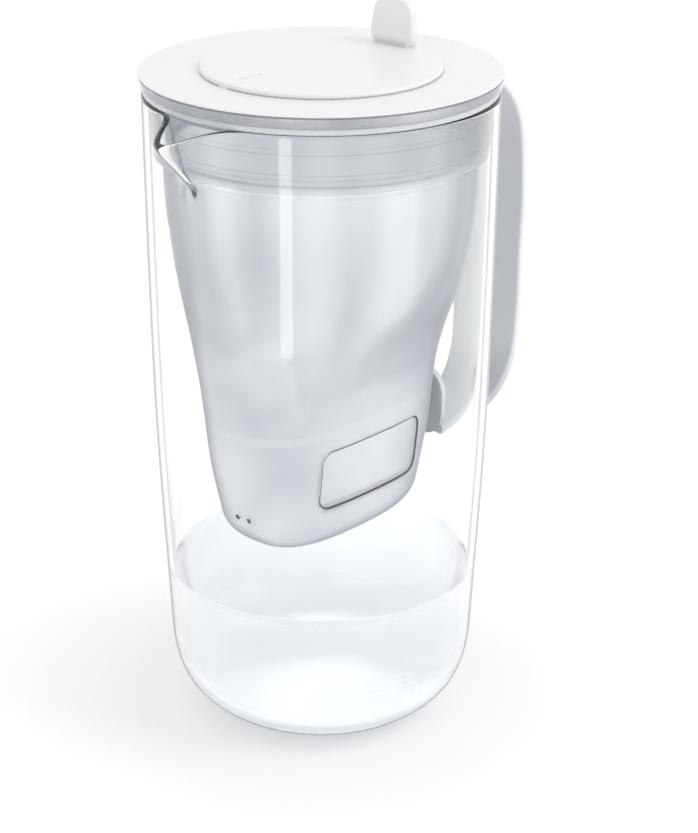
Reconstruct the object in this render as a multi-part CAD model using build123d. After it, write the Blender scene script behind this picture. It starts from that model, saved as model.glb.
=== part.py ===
# Water filter pitcher: glass jug, strap handle, lift-out funnel with a filter cartridge, lid with flip-top flap
# Millimetres. Origin at the centre of the base, +Z up, spout toward -X, handle toward +X.

import os
from math import copysign, cos, pi, radians, sin

from build123d import *

# Jug
jug_radius = 68.0
rim_z = 257.5
glass_wall = 2.5
base_thickness = 6.0
foot_radius = jug_radius - 37.0
corner_point = (jug_radius - 14.4, 11.6)
shoulder_point = (jug_radius - 6.8, 37.0)
middle_point = (jug_radius - 1.8, 140.0)
bore_radius = jug_radius - glass_wall
far = 2 * jug_radius
clear = 1.0

# Spout: the beak grows out of the wall from its root to a little over the rim
spout_root_z = rim_z - 28.0
spout_rise = 29.0
spout_reach = jug_radius + 27.5
spout_tip_x = jug_radius + 19.0
spout_dip_start = jug_radius - 2.0
spout_dip = 5.0
spout_front_lean = 0.8
spout_front_height = 9.0
spout_cut_slope = 4.0
nose_radii = (4.6, 5.6, 6.6)
spout_half_angles = (6.0, 13.0, 21.0)
nose_opening = 52.0
root_step = 0.3

# Strap handle: middle line of its side view, outward from the jug radius and down from the rim
strap_path = (
    (-2.0, 6.5),
    (10.0, 6.5),
    (21.0, 10.6),
    (30.2, 17.9),
    (37.8, 32.0),
    (40.6, 57.5),
    (40.6, 87.5),
    (41.4, 114.0),
    (39.0, 135.0),
    (29.0, 148.9),
    (13.0, 154.3),
    (-2.0, 155.9),
)
strap_thickness = 4.0
strap_width_top = 32.0
strap_width_foot = 25.0
strap_taper = (67.5, 161.5)
strap_stations = 15
strap_edge_round = 1.3
strap_span = jug_radius + 62.0
tongue_thickness = 3.0
tongue_half_width = 11.5
tongue_round = 0.5
lower_tongue_z = (rim_z - 160.0, rim_z - 131.5)
upper_tongue_z = (rim_z - 21.5, rim_z - 3.5)
bond_thickness = 0.6
bond_fit = 0.05
bond_margin = 1.5

# Gasket, flange and collar of the funnel
gasket_height = 2.7
gasket_outer = jug_radius - 0.3
gasket_fit = 0.1
flange_bottom = rim_z + gasket_height
flange_top = flange_bottom + 3.8
flange_lower_radius = jug_radius + 0.4
lid_radius = jug_radius + 1.0
lid_top = flange_top + 1.0
collar_radii = (bore_radius - 0.6, bore_radius - 1.0, bore_radius - 1.6)
collar_levels = (rim_z - 7.7, rim_z - 17.3, rim_z - 22.3)
collar_wall = 2.0
collar_floor = 1.5
neck_step = 0.5
neck_height = 0.8
neck_bite = 2.7

# Cartridge
squareness = 3.0
collar_half = (48.6, 26.4)
collar_height = 10.0
collar_roof = 1.5
collar_round = 0.6
ledge_z = rim_z - 124.5
cup_bottom_z = ledge_z - 46.8
cup_top_z = ledge_z + 8.3
cup_foot = (40.0, 20.0)
cup_top = (43.4, 22.4)
cup_wall = 1.4
cup_round = 5.0
part_gap = 0.3
vault_half_length = 37.0
vault_half_top = 27.0
vault_radius = 20.0
vault_wall = 1.5
screen_thickness = 0.6
screen_drop = 1.2
media_top_z = ledge_z + 1.0
slot_width = 1.6
slot_depth = 4.0
roof_slots = 5
roof_slot_pitch = 7.2
roof_slot_length = 26.0
foot_slots = 3
foot_slot_pitch = 7.0
foot_slot_length = 18.0
end_slot_offset = 4.5
end_slot_z = (5.5, 18.5)

# Funnel: bowl from the round neck down to the long chamber that holds the cartridge
funnel_wall = 1.8
chamber_side = (2.6, 3.0)
chamber_half = (collar_half[0] + chamber_side[0], collar_half[1] + chamber_side[1])
bowl_radius = collar_radii[2] - 3.1
ledge_thickness = 2.5
ledge_clearance = 0.4
chamber_bottom_z = ledge_z - 53.0
chamber_floor = 2.0
chamber_round = 11.5
badge_half_width = 28.7
badge_z = (ledge_z - 34.0, ledge_z - 8.5)
badge_corner = 5.5
badge_depth = 0.8
vent_radius = 1.1
vent_z = ledge_z - 38.5
vent_offset = 3.0
outlet_slot = (34.0, 4.0)
outlet_pitch = 9.6

# Bowl: level, share of the way from the chamber's length and width to the neck's, squareness of the oval
bowl_outline = (
    (collar_levels[2] - neck_height, 1.0, 1.0, 2.0),
    (rim_z - 42.5, 0.906, 0.971, 2.0),
    (rim_z - 57.5, 0.688, 0.898, 2.05),
    (rim_z - 71.5, 0.385, 0.726, 2.3),
    (rim_z - 82.5, 0.25, 0.541, 2.5),
    (rim_z - 92.5, 0.167, 0.357, 2.7),
    (rim_z - 102.5, 0.125, 0.191, 2.9),
    (rim_z - 112.5, 0.104, 0.064, 3.0),
    (ledge_z, 0.0, 0.0, 3.05),
)

# Chamber under the ledge: level, how much shorter and narrower than at the ledge, squareness
chamber_outline = (
    (ledge_z - 18.0, 2.2, 1.4, 3.1),
    (ledge_z - 36.0, 5.6, 3.2, 3.0),
    (chamber_bottom_z, 9.4, 4.8, 2.8),
)
oval_points = 28

# Pod under the flap
pod_outer = 37.4
pod_wall = 1.6
pod_bottom_z = lid_top - 7.6
pod_reach = 0.1
base_thick = 1.4
guide_centre = (-32.0, 6.6)
guide_size = (10.5, 3.2)
guide_turn = 4.0
guide_fit = 0.05
guide_seat = 0.2
guide_foot_radius = 1.3
led_centre = (-30.5, 6.4)
led_size = 1.6
led_height = 0.8
board_size = (30.0, 18.0)
board_centre = (-17.0, 4.0)
board_z = lid_top - 3.1
board_thick = 0.9
board_posts = ((-28.0, -2.0), (-6.0, 10.0), (-6.0, -2.0))
board_post_radius = 1.5
cell_centre = (12.0, 0.0)
cell_radius = 10.0
cell_height = 3.2
cell_gap = 0.2
cell_round = 0.4
door_radius = 12.3
door_gap = 0.3
door_rim = 1.1
coin_slot = (14.0, 2.0, 0.7)
bayonet_reach = 2.0
bayonet_thick = 0.8
bayonet_width = 7.0
screw_ring = 29.0
screw_angles = (100.0, 220.0, 320.0)
screw_radius = 1.0
screw_post_radius = 2.6
screw_bite = 0.05
screw_head = 2.2
screw_head_height = 1.1
screw_slot = (3.2, 0.7, 0.45)
head_room = 0.2
screw_top_z = lid_top - 1.4
clip_thick = 0.3
clip_half_width = 2.0
clip_foot = 6.0
clip_press = 0.05

# Lid and flap
skirt_outer = collar_radii[0] - collar_wall - 0.9
skirt_wall = 1.8
skirt_bottom_z = lid_top - 10.5
plate_thickness = 2.4
lid_round = 0.45
fill_radius = pod_outer + 1.2
chute_wall = 1.6
chute_bottom_z = lid_top - 6.0
flap_radius = fill_radius + 7.4
flap_rise = 1.9
flap_round = 1.1
flap_chord_x = flap_radius - 1.5
hinge_x = flap_chord_x + 1.8
hinge_z = lid_top - 2.0
pin_radius = 0.9
pin_run = 0.06
pin_fit = 0.1
knuckle_radius = 1.85
knuckle_half = 8.0
slot_half = 8.4
slot_near_x = hinge_x - 4.3
slot_far_x = hinge_x + 2.7
boss_drop = 2.4
boss_half = 13.6
boss_x = (hinge_x - 5.3, hinge_x + 4.1)
boss_wall = 0.4
tab_top = lid_top + 20.0
tab_front_x = flap_chord_x - 4.9
tab_half_base = 11.4
tab_half_top = 9.0
tab_corner = 6.5
tab_round = 0.9
tab_lean = 1.5


def wall_face(inset, floor_z, top_z):
    """Half section of the round jug, moved inward by inset."""
    foot = (foot_radius - 0.3 * inset, floor_z)
    corner = (corner_point[0] - 0.72 * inset, corner_point[1] + 0.7 * inset)
    shoulder = (shoulder_point[0] - inset, shoulder_point[1] + 0.3 * inset)
    middle = (middle_point[0] - inset, middle_point[1])
    top = (jug_radius - inset, top_z)
    with BuildSketch(Plane.XZ) as section:
        with BuildLine():
            start = Line((0, floor_z), foot)
            bend = Spline(start @ 1, corner, shoulder, tangents=[(1, 0), (0.055, 1)])
            side = Spline(bend @ 1, middle, top, tangents=[(0.055, 1), (0.008, 1)])
            Polyline(side @ 1, (0, top_z), (0, floor_z))
        make_face()
    return section.sketch


def jug_round(inset, floor_z, top_z):
    return revolve(wall_face(inset, floor_z, top_z), Axis.Z)


def beak_section(z, reach, stage, inset):
    """Level outline of the spout: a round nose with flanks that run into the round wall."""
    wall = jug_radius - inset
    reach = reach - inset
    nose = nose_radii[stage] - inset
    a = radians(spout_half_angles[stage])
    left = (-wall * cos(a), wall * sin(a))
    right = (-wall * cos(a), -wall * sin(a))
    centre = nose - reach
    open_angle = radians(nose_opening)
    nose_left = (centre - nose * cos(open_angle), nose * sin(open_angle))
    nose_right = (centre - nose * cos(open_angle), -nose * sin(open_angle))
    along_wall = (-sin(a), -cos(a))
    along_nose = (-sin(open_angle), -cos(open_angle))
    with BuildSketch(Plane.XY.offset(z)) as section:
        with BuildLine():
            Spline(left, nose_left, tangents=[along_wall, along_nose])
            ThreePointArc(nose_left, (-reach, 0), nose_right)
            Spline(nose_right, right, tangents=[(sin(open_angle), -cos(open_angle)), (sin(a), -cos(a))])
            Polyline(right, (-wall * cos(a) + 6 * clear, 0), left)
        make_face()
    return section.sketch


def beak(inset):
    """Solid beak of the spout from its root up past the rim."""
    middle_z = spout_root_z + spout_rise / 2
    top_z = spout_root_z + spout_rise
    root = beak_section(spout_root_z, jug_radius + root_step, 0, inset)
    middle = beak_section(middle_z, (jug_radius + spout_reach) / 2, 1, inset)
    top = beak_section(top_z, spout_reach, 2, inset)
    return loft([root, middle, top])


def lip_cut():
    """Cuts the beak off steeply at its tip and lowers the rim toward it."""
    out = -spout_reach - clear
    front_z = rim_z - spout_dip - spout_front_height
    with BuildSketch(Plane.XZ) as wedge:
        with BuildLine():
            slope = Spline(
                (-spout_dip_start, rim_z),
                (-spout_tip_x, rim_z - spout_dip),
                tangents=[(-1, 0), (-1, -0.2)],
            )
            front = Line(slope @ 1, (-spout_tip_x + spout_front_lean, front_z))
            Polyline(front @ 1, (out, front_z - spout_cut_slope), (out, rim_z + clear))
            Polyline((out, rim_z + clear), (-spout_dip_start, rim_z + clear), slope @ 0)
        make_face()
    return extrude(wedge.sketch, amount=jug_radius, both=True)


def glass_jug():
    outer = jug_round(0, 0, rim_z) + beak(0)
    inner = jug_round(glass_wall, base_thickness, rim_z + clear) + beak(glass_wall)
    above = Pos(0, 0, rim_z + spout_rise / 2) * Box(2 * far, 2 * far, spout_rise)
    return outer - inner - above - lip_cut()


def strap_band():
    """Flat band that follows the side view of the strap."""
    shelf, *bends = [(jug_radius + out, rim_z - down) for out, down in strap_path]
    middle = Spline(shelf, *bends, tangents=[(1, 0), (-1, -0.15)])
    outer_points = []
    inner_points = []
    for step in range(strap_stations + 1):
        spot = middle.position_at(step / strap_stations)
        along = middle.tangent_at(step / strap_stations)
        across = Vector(along.Y, -along.X) * (strap_thickness / 2)
        outer_points.append(spot - across)
        inner_points.append(spot + across)
    with BuildSketch(Plane.XZ) as side_view:
        with BuildLine():
            outer = Spline(outer_points)
            inner = Spline(inner_points)
            Line(outer @ 0, inner @ 0)
            Line(outer @ 1, inner @ 1)
        make_face()
    return extrude(side_view.sketch, amount=strap_width_top, both=True)


def strap_mask():
    """Front view of the strap: full width at the top, narrower at the foot."""
    wide_z = rim_z - strap_taper[0]
    foot_z = rim_z - strap_taper[1]
    top_z = rim_z + clear
    with BuildSketch(Plane.YZ) as view:
        with BuildLine():
            Polyline(
                (-strap_width_foot / 2, foot_z),
                (-strap_width_top / 2, wide_z),
                (-strap_width_top / 2, top_z),
                (strap_width_top / 2, top_z),
                (strap_width_top / 2, wide_z),
                (strap_width_foot / 2, foot_z),
                close=True,
            )
        make_face()
    return extrude(view.sketch, amount=strap_span)


def tongue_prism(levels, margin):
    """Prism along X with the rounded outline of a tongue."""
    low, high = levels
    width = 2 * (tongue_half_width - margin)
    height = high - low - 2 * margin
    with BuildSketch(Plane.YZ) as view:
        with Locations((0, (low + high) / 2)):
            RectangleRounded(width, height, min(width, height) / 2 - tongue_round)
    return extrude(view.sketch, amount=strap_span)


def tongue(levels):
    outside = jug_round(-bond_thickness - tongue_thickness, 0, rim_z)
    inside = jug_round(-bond_thickness, -clear, rim_z + clear)
    return (tongue_prism(levels, 0) & outside) - inside


def handle_strap():
    band = strap_band() & strap_mask()
    long_edges = band.edges().filter_by(lambda edge: edge.length > 2 * strap_width_top)
    band = fillet(long_edges, strap_edge_round)
    inside = jug_round(-bond_thickness, -clear, rim_z + clear)
    return band - inside + tongue(lower_tongue_z) + tongue(upper_tongue_z)


def handle_bond(levels):
    outside = jug_round(-bond_thickness + bond_fit, 0, rim_z)
    inside = jug_round(-bond_fit, -clear, rim_z + clear)
    return (tongue_prism(levels, bond_margin) & outside) - inside


def rim_gasket():
    """Soft ring between the glass rim and the funnel flange, flat on both."""
    ring = Pos(0, 0, rim_z + gasket_height / 2) * Cylinder(gasket_outer, gasket_height)
    bore = Pos(0, 0, rim_z + gasket_height / 2) * Cylinder(collar_radii[0] + gasket_fit, gasket_height + clear)
    return ring - bore


def oval(half_length, half_width, power, z):
    """Level oval, from an ellipse at power 2 to nearly a rounded rectangle at 3."""
    spots = []
    for step in range(oval_points):
        turn = 2 * pi * step / oval_points
        x = half_length * copysign(abs(cos(turn)) ** (2 / power), cos(turn))
        y = half_width * copysign(abs(sin(turn)) ** (2 / power), sin(turn))
        spots.append((x, y, z))
    return make_face(Spline(*spots, periodic=True))


def oval_block(half_size, low, high, grow=0.0):
    """Straight block with the cartridge's oval outline."""
    face = oval(half_size[0] + grow, half_size[1] + grow, squareness, low)
    return extrude(face, amount=high - low, dir=(0, 0, 1))


def funnel_loft(inset, floor_lift):
    """Form that tapers from round at the top to long at the bottom."""
    sections = []
    length, width = chamber_half
    for z, share_long, share_wide, power in bowl_outline:
        half_length = length + share_long * (bowl_radius - length)
        half_width = width + share_wide * (bowl_radius - width)
        sections.append(oval(half_length - inset, half_width - inset, power, z))
    for z, shorter, narrower, power in chamber_outline:
        level = z + floor_lift if z == chamber_bottom_z else z
        sections.append(oval(length - shorter - inset, width - narrower - inset, power, level))
    return loft(sections)


def funnel_form(inset, floor_lift, round_radius):
    """The tapered form with its bottom edge rounded."""
    form = funnel_loft(inset, floor_lift)
    return fillet(form.faces().sort_by(Axis.Z)[0].edges(), round_radius)


def collar_form(radii, levels):
    """Stepped round collar built from the flange down."""
    tops = [flange_bottom, levels[0], levels[1]]
    form = None
    for radius, top, bottom in zip(radii, tops, levels):
        step = Pos(0, 0, (top + bottom) / 2) * Cylinder(radius, top - bottom)
        form = step if form is None else form + step
    return form


def flange():
    """Round flange under the lid, a little wider toward the top."""
    with BuildSketch(Plane.XZ) as view:
        with BuildLine():
            Polyline(
                (0, flange_bottom),
                (flange_lower_radius, flange_bottom),
                (lid_radius, flange_top),
                (0, flange_top),
                close=True,
            )
        make_face()
    return revolve(view.sketch, Axis.Z)


def funnel_outside():
    neck_z = collar_levels[2] - neck_height / 2
    neck = Pos(0, 0, neck_z) * Cone(bowl_radius + neck_step, collar_radii[2], neck_height)
    return flange() + collar_form(collar_radii, collar_levels) + neck


def funnel_inside():
    """Room in the funnel from the open top down to the chamber floor."""
    radii = [radius - collar_wall for radius in collar_radii]
    room = collar_form(radii, [level + collar_floor for level in collar_levels])
    bowl_top = collar_levels[2] - neck_height
    room += Pos(0, 0, bowl_top + neck_bite / 2) * Cylinder(bowl_radius - funnel_wall - neck_step, neck_bite)
    mouth = flange_top + clear - flange_bottom
    room += Pos(0, 0, flange_bottom + mouth / 2) * Cylinder(radii[0], mouth)
    return room + funnel_form(funnel_wall, chamber_floor, chamber_round - funnel_wall)


def funnel():
    form = funnel_form(0, 0, chamber_round)
    slab = Pos(0, 0, ledge_z - ledge_thickness / 2) * Box(far, far, ledge_thickness)
    passage = oval_block(cup_top, ledge_z - ledge_thickness - clear, ledge_z + clear, ledge_clearance)
    body = funnel_outside() + form - funnel_inside() + ((form & slab) - passage)
    return body - chamber_vents() - outlet_slots() - badge_recess()


def chamber_vents():
    """Two small round holes through the spout-side end of the chamber."""
    hole = Rot(0, 90, 0) * Cylinder(vent_radius, 6 * funnel_wall)
    vents = [Pos(-chamber_half[0] + 6, side * vent_offset, vent_z) * hole for side in (-1, 1)]
    return Compound(vents)


def outlet_slots():
    """Slots through the chamber floor that let the filtered water out."""
    length, width = outlet_slot
    slots = []
    for row in (-1, 0, 1):
        outline = Pos(0, row * outlet_pitch, chamber_bottom_z - clear) * SlotOverall(length, width)
        slots.append(extrude(outline, amount=chamber_floor + 2 * clear))
    return Compound(slots)


def badge_recess():
    """Shallow rounded plate outline pressed into the long face, left bare."""
    low, high = badge_z
    with BuildSketch(Plane.XZ.offset(chamber_half[1] / 2)) as plate:
        with Locations((0, (low + high) / 2)):
            RectangleRounded(2 * badge_half_width, high - low, badge_corner)
    block = extrude(plate.sketch, amount=chamber_half[1])
    keep = funnel_loft(badge_depth, 0)
    return block - keep


def cup_form(inset, floor_z, top_z, round_radius):
    form = loft([
        oval(cup_foot[0] - inset, cup_foot[1] - inset, squareness, floor_z),
        oval(cup_top[0] - inset, cup_top[1] - inset, squareness, top_z),
    ])
    return fillet(form.faces().sort_by(Axis.Z)[0].edges(), round_radius)


def cartridge_cup():
    shell = cup_form(0, cup_bottom_z, cup_top_z, cup_round)
    shell -= cup_form(cup_wall, cup_bottom_z + cup_wall, cup_top_z + bond_fit, cup_round - cup_wall)
    for row in range(-foot_slots, foot_slots + 1):
        shell -= Pos(row * foot_slot_pitch, 0, cup_bottom_z) * Box(slot_width, foot_slot_length, 2 * slot_depth)
    low, high = end_slot_z
    for side in (-1, 1):
        for end in (-1, 1):
            spot = Pos(end * cup_foot[0], side * end_slot_offset, cup_bottom_z + (low + high) / 2)
            shell -= spot * Box(3 * slot_depth, slot_width, high - low)
    return shell


def vault_block(radius, grow):
    """Half-round vault along X with slanted ends."""
    top_z = ledge_z + collar_height
    with BuildSketch(Plane.XZ) as side:
        Polygon(
            (-vault_half_length - grow, top_z),
            (vault_half_length + grow, top_z),
            (vault_half_top + grow, top_z + vault_radius + clear),
            (-vault_half_top - grow, top_z + vault_radius + clear),
            align=None,
        )
    barrel = Pos(0, 0, top_z) * Rot(0, 90, 0) * Cylinder(radius, 3 * vault_half_length)
    return extrude(side.sketch, amount=2 * vault_radius, both=True) & barrel


def cartridge_cap():
    """Collar that rests on the ledge, roof with inlet slots and the vaulted grip."""
    top_z = ledge_z + collar_height
    cap = oval_block(collar_half, ledge_z, top_z)
    cap -= oval_block(cup_top, ledge_z - clear, top_z - collar_roof, part_gap)
    for row in range(-roof_slots, roof_slots + 1):
        cap -= Pos(row * roof_slot_pitch, 0, top_z) * Box(slot_width, roof_slot_length, 2 * slot_depth)
    outline = cap.edges().filter_by(lambda edge: edge.center().Z > top_z - bond_fit and edge.length > far)
    cap = fillet(outline, collar_round)
    vault = vault_block(vault_radius, 0) - vault_block(vault_radius - vault_wall, 5)
    return cap + vault


def screen(half_size, z):
    return oval_block(half_size, z, z + screen_thickness)


def inlet_screen():
    return screen((cup_top[0] - cup_wall - part_gap, cup_top[1] - cup_wall - part_gap), cup_top_z - screen_drop)


def outlet_screen():
    return screen((cup_foot[0] - cup_round, cup_foot[1] - cup_round), cup_bottom_z + cup_wall + part_gap)


def filter_media():
    """Bed of granules, as one block that fills the cup up to its fill level."""
    floor_z = cup_bottom_z + cup_wall + 2 * part_gap + screen_thickness
    block = cup_form(cup_wall + part_gap, floor_z, cup_top_z, cup_round - cup_wall)
    above = Pos(0, 0, media_top_z + collar_height) * Box(far, far, 2 * collar_height)
    return block - above


def lid_plate():
    """White lid: plate, skirt into the funnel, chute round the filling hole, hinge boss."""
    plate_low = lid_top - plate_thickness
    with BuildSketch(Plane.XZ) as half:
        with BuildLine():
            Polyline(
                (fill_radius, lid_top),
                (lid_radius, lid_top),
                (lid_radius, flange_top),
                (skirt_outer, flange_top),
                (skirt_outer, skirt_bottom_z),
                (skirt_outer - skirt_wall, skirt_bottom_z),
                (skirt_outer - skirt_wall, plate_low),
                (fill_radius + chute_wall, plate_low),
                (fill_radius + chute_wall, chute_bottom_z),
                (fill_radius, chute_bottom_z),
                close=True,
            )
        make_face()
    lid = revolve(half.sketch, Axis.Z)
    rim = lid.edges().filter_by(GeomType.CIRCLE).sort_by(lambda edge: edge.radius + edge.center().Z)[-1]
    lid = fillet(rim, lid_round)
    boss_low = hinge_z - boss_drop
    near, deep = boss_x
    boss_middle = Pos((near + deep) / 2, 0, (boss_low + plate_low) / 2)
    lid += boss_middle * Box(deep - near, 2 * boss_half, plate_low - boss_low)
    slot_centre = (slot_near_x + slot_far_x) / 2
    slot_height = 2 * (lid_top - boss_low + clear)
    lid -= Pos(slot_centre, 0, lid_top) * Box(slot_far_x - slot_near_x, 2 * slot_half, slot_height)
    lid -= hinge_axis_bar(pin_radius, boss_half - boss_wall)
    return lid


def hinge_axis_bar(radius, half_length):
    """Round bar on the hinge axis."""
    return Pos(hinge_x, 0, hinge_z) * Rot(90, 0, 0) * Cylinder(radius, 2 * half_length)


def hinge_pin():
    return hinge_axis_bar(pin_radius, boss_half - boss_wall - pin_fit)


def thumb_tab():
    """Upright tab, narrower and thinner toward its rounded top."""
    low = lid_top
    with BuildSketch(Plane.YZ.offset(tab_front_x)) as view:
        Polygon(
            (-tab_half_base, low),
            (tab_half_base, low),
            (tab_half_top, tab_top),
            (-tab_half_top, tab_top),
            align=None,
        )
        fillet(view.vertices().group_by(Axis.Z)[-1], tab_corner)
    block = extrude(view.sketch, amount=flap_chord_x - tab_front_x)
    with BuildSketch(Plane.XZ) as side:
        Polygon(
            (tab_front_x, low),
            (flap_chord_x, low),
            (flap_chord_x, tab_top + clear),
            (tab_front_x + tab_lean, tab_top + clear),
            align=None,
        )
    block = block & extrude(side.sketch, amount=2 * tab_half_base, both=True)
    return fillet(block.edges().filter_by(lambda edge: edge.center().Z > low + clear), tab_round)


def flap_disc():
    """Round flap with a straight edge at the hinge and a rounded top edge."""
    top_z = lid_top + flap_rise
    disc = Pos(0, 0, lid_top + flap_rise / 2) * Cylinder(flap_radius, flap_rise)
    disc -= Pos(flap_chord_x + flap_radius / 2, 0, lid_top) * Box(flap_radius, far, 4 * flap_rise)
    return fillet(disc.edges().filter_by(lambda edge: edge.center().Z > top_z - bond_fit), flap_round)


def pod_ring():
    low = pod_bottom_z + base_thick
    middle = Pos(0, 0, (low + lid_top) / 2)
    return middle * Cylinder(pod_outer, lid_top - low) - middle * Cylinder(pod_outer - pod_wall, far)


def hinge_knuckle():
    """Arm and knuckle that turn on the pin, the arm kept under the straight edge of the flap."""
    low_x = slot_near_x + part_gap * 2
    arm_top = lid_top + flap_round / 2
    arm_middle = Pos((low_x + hinge_x) / 2, 0, (hinge_z + arm_top) / 2)
    arm = arm_middle * Box(hinge_x - low_x, 2 * knuckle_half, arm_top - hinge_z)
    over = Pos(hinge_x, 0, lid_top + flap_rise) * Box(2 * (hinge_x - flap_chord_x), far, 2 * flap_rise)
    return arm - over + hinge_axis_bar(knuckle_radius, knuckle_half)


def flap_posts():
    """Posts under the flap for the board and for the screws of the base."""
    posts = []
    board_top = board_z + board_thick
    for spot in board_posts:
        posts.append(Pos(*spot, (board_top + lid_top) / 2) * Cylinder(board_post_radius, lid_top - board_top))
    low = pod_bottom_z + base_thick + pod_reach
    for spot in screw_spots():
        post = Pos(*spot, (low + lid_top) / 2) * Cylinder(screw_post_radius, lid_top - low)
        bore = Pos(*spot, screw_top_z + screw_bite - far / 2) * Cylinder(screw_radius + screw_bite, far)
        posts.append(post - bore)
    return posts


def flap_cover():
    """Raised round flap with the thumb tab, the ring of its pod and the hinge knuckle."""
    cover = flap_disc() + thumb_tab() + pod_ring() + hinge_knuckle()
    cover -= hinge_axis_bar(pin_radius + pin_run, knuckle_half + clear)
    for post in flap_posts():
        cover += post
    return cover - guide_window(0, lid_top - guide_seat)


def screw_spots():
    return [(screw_ring * cos(radians(a)), screw_ring * sin(radians(a))) for a in screw_angles]


def guide_window(shrink, low):
    """Long rounded block of the indicator window, up through the flap."""
    length, width = guide_size
    place = Pos(*guide_centre, low) * Rot(0, 0, guide_turn)
    outline = place * SlotOverall(length - 2 * shrink, width - 2 * shrink)
    return extrude(outline, amount=lid_top + flap_rise - low + (0 if shrink else clear))


def light_guide():
    foot_low = board_z + board_thick + led_height + part_gap
    foot_top = lid_top + guide_seat
    foot = Pos(*led_centre, (foot_low + foot_top) / 2) * Cylinder(guide_foot_radius, foot_top - foot_low)
    return guide_window(guide_fit, lid_top + guide_fit) + foot


def indicator_board():
    return Pos(*board_centre, board_z + board_thick / 2) * Box(*board_size, board_thick)


def indicator_led():
    low = board_z + board_thick
    return Pos(*led_centre, low + led_height / 2) * Box(led_size, led_size, led_height)


def coin_cell():
    low = pod_bottom_z + base_thick + cell_gap
    cell = Pos(*cell_centre, low + cell_height / 2) * Cylinder(cell_radius, cell_height)
    return fillet(cell.edges().filter_by(GeomType.CIRCLE), cell_round)


def cell_clip():
    """Bent spring strip from the board's underside to the top of the cell."""
    board_edge = board_centre[0] + board_size[0] / 2
    foot_z = board_z - clip_thick
    contact_z = pod_bottom_z + base_thick + cell_gap + cell_height + clip_press
    tip_x = cell_centre[0] + clip_half_width
    with BuildSketch(Plane.XZ) as side:
        with BuildLine():
            Polyline(
                (board_edge - clip_foot, foot_z),
                (board_edge + clear, foot_z),
                (board_edge + 2 * clear, contact_z),
                (tip_x, contact_z),
                (tip_x, contact_z + clip_thick),
                (board_edge + 2 * clear - clip_thick, contact_z + clip_thick),
                (board_edge + clear - clip_thick, board_z),
                (board_edge - clip_foot, board_z),
                close=True,
            )
        make_face()
    return extrude(side.sketch, amount=clip_half_width, both=True)


def bayonet_lugs(grow, low, thick):
    """Two short lugs beside the round door."""
    x, y = cell_centre
    reach = door_radius + bayonet_reach + grow
    block = Pos(x, y, low + thick / 2) * Box(2 * reach, bayonet_width + 2 * grow, thick)
    ring = Pos(x, y, low + thick / 2) * Cylinder(reach, thick)
    return block & ring


def cell_door():
    """Round battery door with a coin slot, a low rim round the cell and two bayonet lugs."""
    x, y = cell_centre
    top = pod_bottom_z + base_thick
    seat = cell_radius + cell_round
    length, width, depth = coin_slot
    door = Pos(x, y, pod_bottom_z + base_thick / 2) * Cylinder(door_radius, base_thick)
    door -= Pos(x, y, pod_bottom_z) * Box(length, width, 2 * depth)
    rim = Pos(x, y, top + door_rim / 2) * (Cylinder(door_radius, door_rim) - Cylinder(seat, door_rim))
    lugs = Pos(x, y, 0) * Rot(0, 0, 90) * Pos(-x, -y, 0) * bayonet_lugs(0, top + part_gap, bayonet_thick)
    core = Pos(x, y, top) * Cylinder(seat, far)
    return door + rim + (lugs - core)


def flap_base():
    """Plate that closes the pod, with the hole of the battery door and screw seats."""
    x, y = cell_centre
    base = Pos(0, 0, pod_bottom_z + base_thick / 2) * Cylinder(pod_outer, base_thick)
    base -= Pos(x, y, pod_bottom_z) * Cylinder(door_radius + door_gap, far)
    base -= bayonet_lugs(door_gap, pod_bottom_z - clear, base_thick + 2 * clear)
    for spot in screw_spots():
        base -= Pos(*spot, pod_bottom_z) * Cylinder(screw_radius + head_room, far)
        base -= Pos(*spot, pod_bottom_z) * Cylinder(screw_head + head_room, 2 * screw_head_height)
    return base


def base_screws():
    """Three equal screws from below, heads sunk into the plate."""
    screws = []
    neck_z = pod_bottom_z + screw_head_height
    length = screw_top_z - neck_z
    slot_long, slot_wide, slot_deep = screw_slot
    for spot in screw_spots():
        head = Pos(*spot, pod_bottom_z + screw_head_height / 2) * Cylinder(screw_head, screw_head_height)
        shank = Pos(*spot, neck_z + length / 2) * Cylinder(screw_radius, length)
        slot = Pos(*spot, pod_bottom_z) * Box(slot_long, slot_wide, 2 * slot_deep)
        screws.append(head + shank - slot)
    return Compound(screws)


nodes = {
    "glass_jug": glass_jug(),
    "handle_strap": handle_strap(),
    "handle_bond_upper": handle_bond(upper_tongue_z),
    "handle_bond_lower": handle_bond(lower_tongue_z),
    "rim_gasket": rim_gasket(),
    "funnel": funnel(),
    "cartridge_cup": cartridge_cup(),
    "cartridge_cap": cartridge_cap(),
    "inlet_screen": inlet_screen(),
    "outlet_screen": outlet_screen(),
    "filter_media": filter_media(),
    "lid_plate": lid_plate(),
    "hinge_pin": hinge_pin(),
    "flap_cover": flap_cover(),
    "light_guide": light_guide(),
    "flap_base": flap_base(),
    "indicator_board": indicator_board(),
    "indicator_led": indicator_led(),
    "coin_cell": coin_cell(),
    "cell_clip": cell_clip(),
    "cell_door": cell_door(),
    "base_screws": base_screws(),
}
os.makedirs("parts", exist_ok=True)
for name, shape in nodes.items():
    export_step(shape, f"parts/{name}.step")
    print(name, len(shape.solids()), round(shape.volume, 1))
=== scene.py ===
# Water filter pitcher: a glass jug with a strap handle, a lift-out funnel with its cartridge,
# and a round lid with a filling flap.
# Sizes are written in millimetres and turned into metres where they reach Blender.
# The origin is the centre of the base, +Z up, the spout toward -X, the handle toward +X.

from math import atan2, copysign, cos, exp, hypot, pi, radians, sin

import bmesh
import bpy
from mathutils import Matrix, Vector
from mathutils.geometry import interpolate_bezier


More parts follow.
